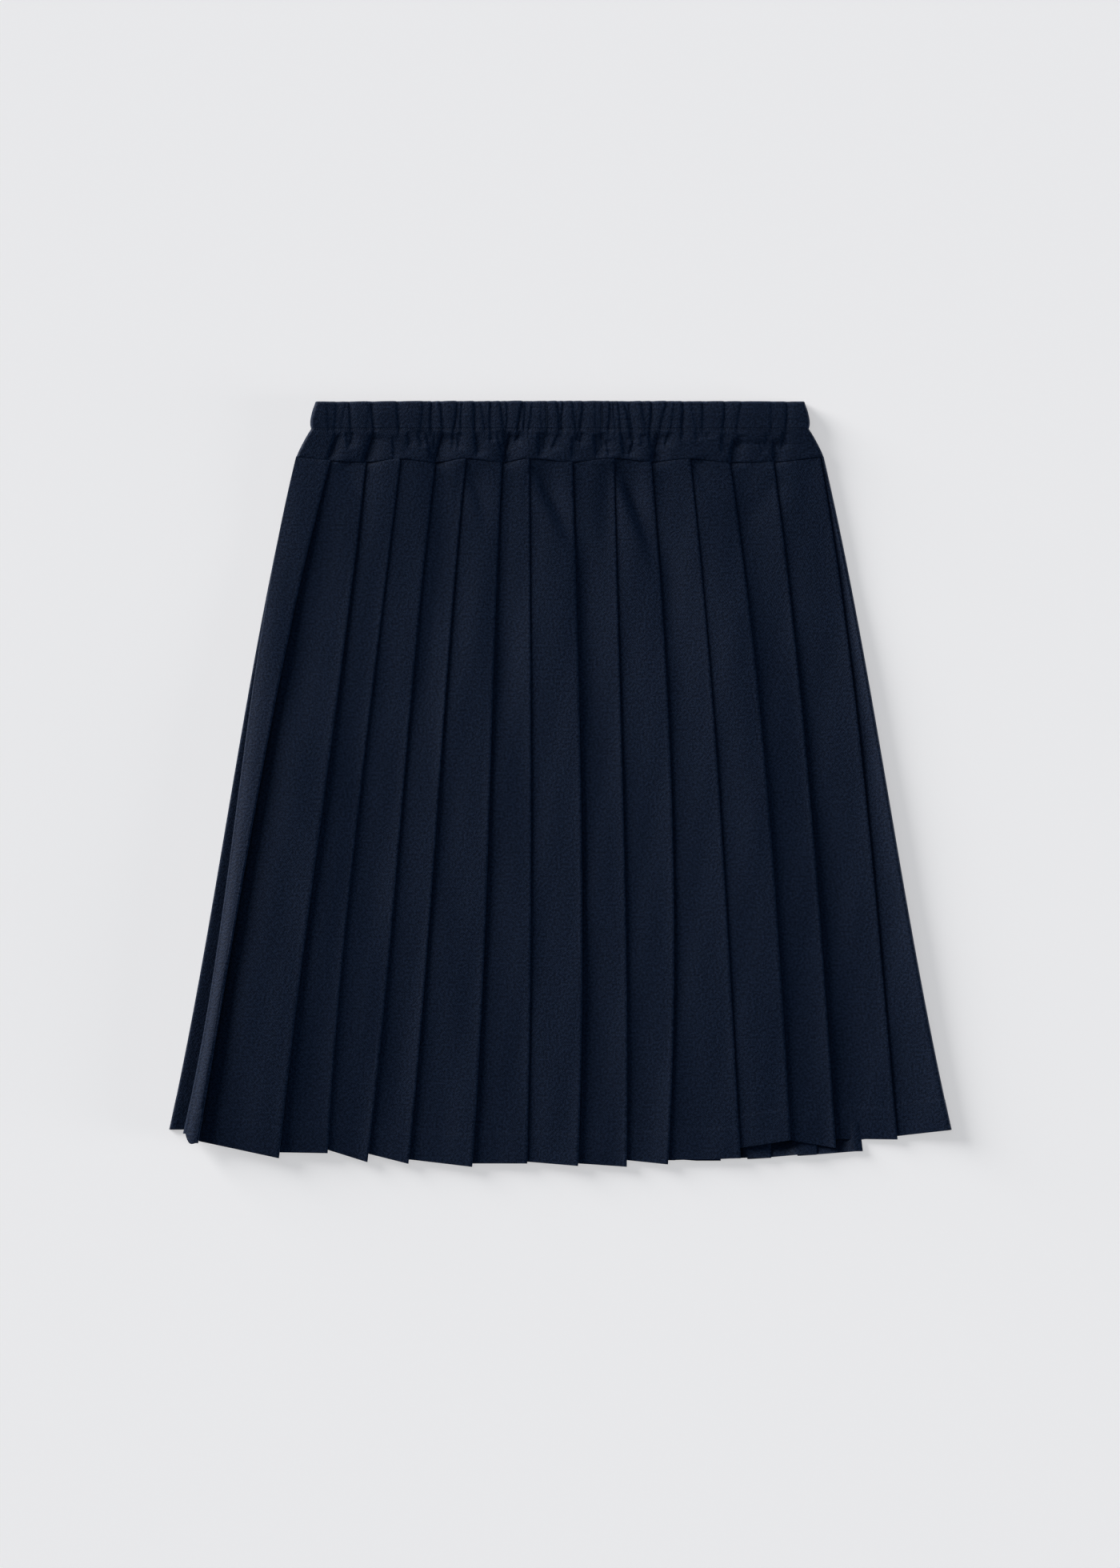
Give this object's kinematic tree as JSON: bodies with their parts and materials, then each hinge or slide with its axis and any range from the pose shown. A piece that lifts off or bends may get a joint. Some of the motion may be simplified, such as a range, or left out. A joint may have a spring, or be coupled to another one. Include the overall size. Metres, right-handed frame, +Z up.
{
  "type": "pleated skirt",
  "caption": "Knee-length knife-pleated skirt with a gathered elastic waistband, lying flat with its front panel up.",
  "frame": {"origin": "on the floor under the middle of the garment's outline", "axes": "+Y towards the waist, +X towards the wearer's left side, +Z up through the front panel"},
  "size_m": [0.5085, 0.4976, 0.012],
  "materials": {
    "panel_twill": "matt navy twill with pressed pleats",
    "band_twill": "matt navy twill, gathered"
  },
  "bodies": {
    "root": {"skirt_front": "panel_twill", "skirt_back": "panel_twill", "waistband": "band_twill"}
  },
  "joints": []
}
